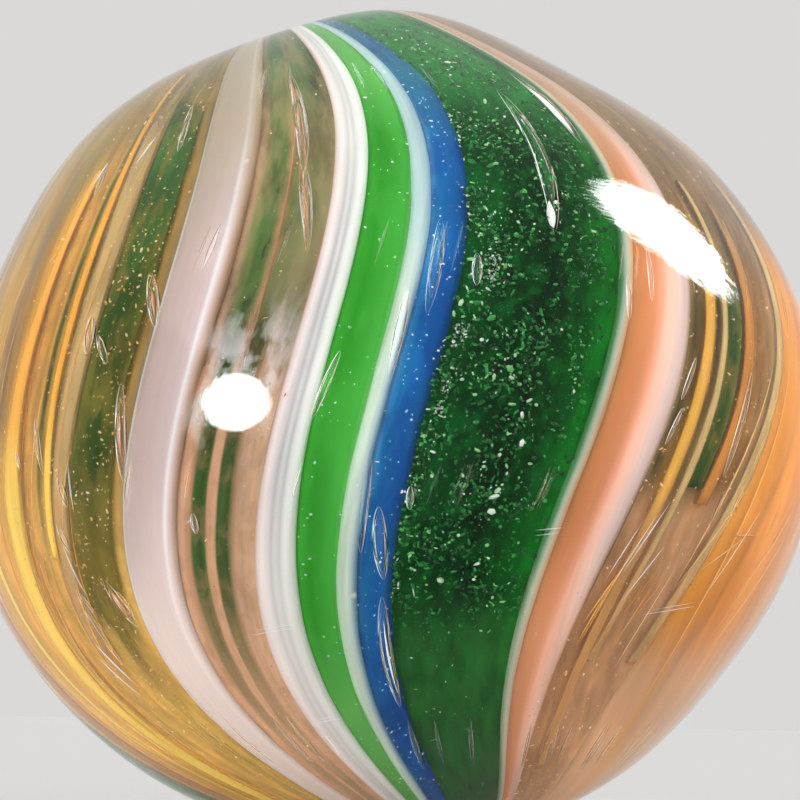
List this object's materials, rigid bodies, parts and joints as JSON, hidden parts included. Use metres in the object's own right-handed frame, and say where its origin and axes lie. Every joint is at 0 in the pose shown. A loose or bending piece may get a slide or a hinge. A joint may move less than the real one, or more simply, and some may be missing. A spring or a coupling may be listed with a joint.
{
  "type": "glass marble",
  "caption": "Hand-turned glass ball with bands of coloured glass that twist from pole to pole in clear glass; a toy or desk marble that rolls freely.",
  "frame": {"origin": "centre of the ball", "axes": "+Z along the axis that the bands twist round, to the pole with the swell beside it; -Y faces the green and blue bands, and +X is to their right"},
  "size_m": [0.02, 0.02, 0.019],
  "materials": {
    "clear_glass": "clear, polished, faintly straw-coloured",
    "white_glass": "milky white thread in the skin",
    "grey_glass": "smoky, half clear",
    "green_glass": "opaque grass green",
    "blue_glass": "opaque deep blue with pale flecks",
    "bottle_glass": "deep bottle green, full of bright flecks",
    "lilac_glass": "milky pinkish lilac",
    "salmon_glass": "opaque salmon to pale pink",
    "amber_glass": "amber to honey, half opaque",
    "olive_glass": "dark olive, speckled"
  },
  "bodies": {
    "root": {"marble": "clear_glass"}
  },
  "joints": []
}
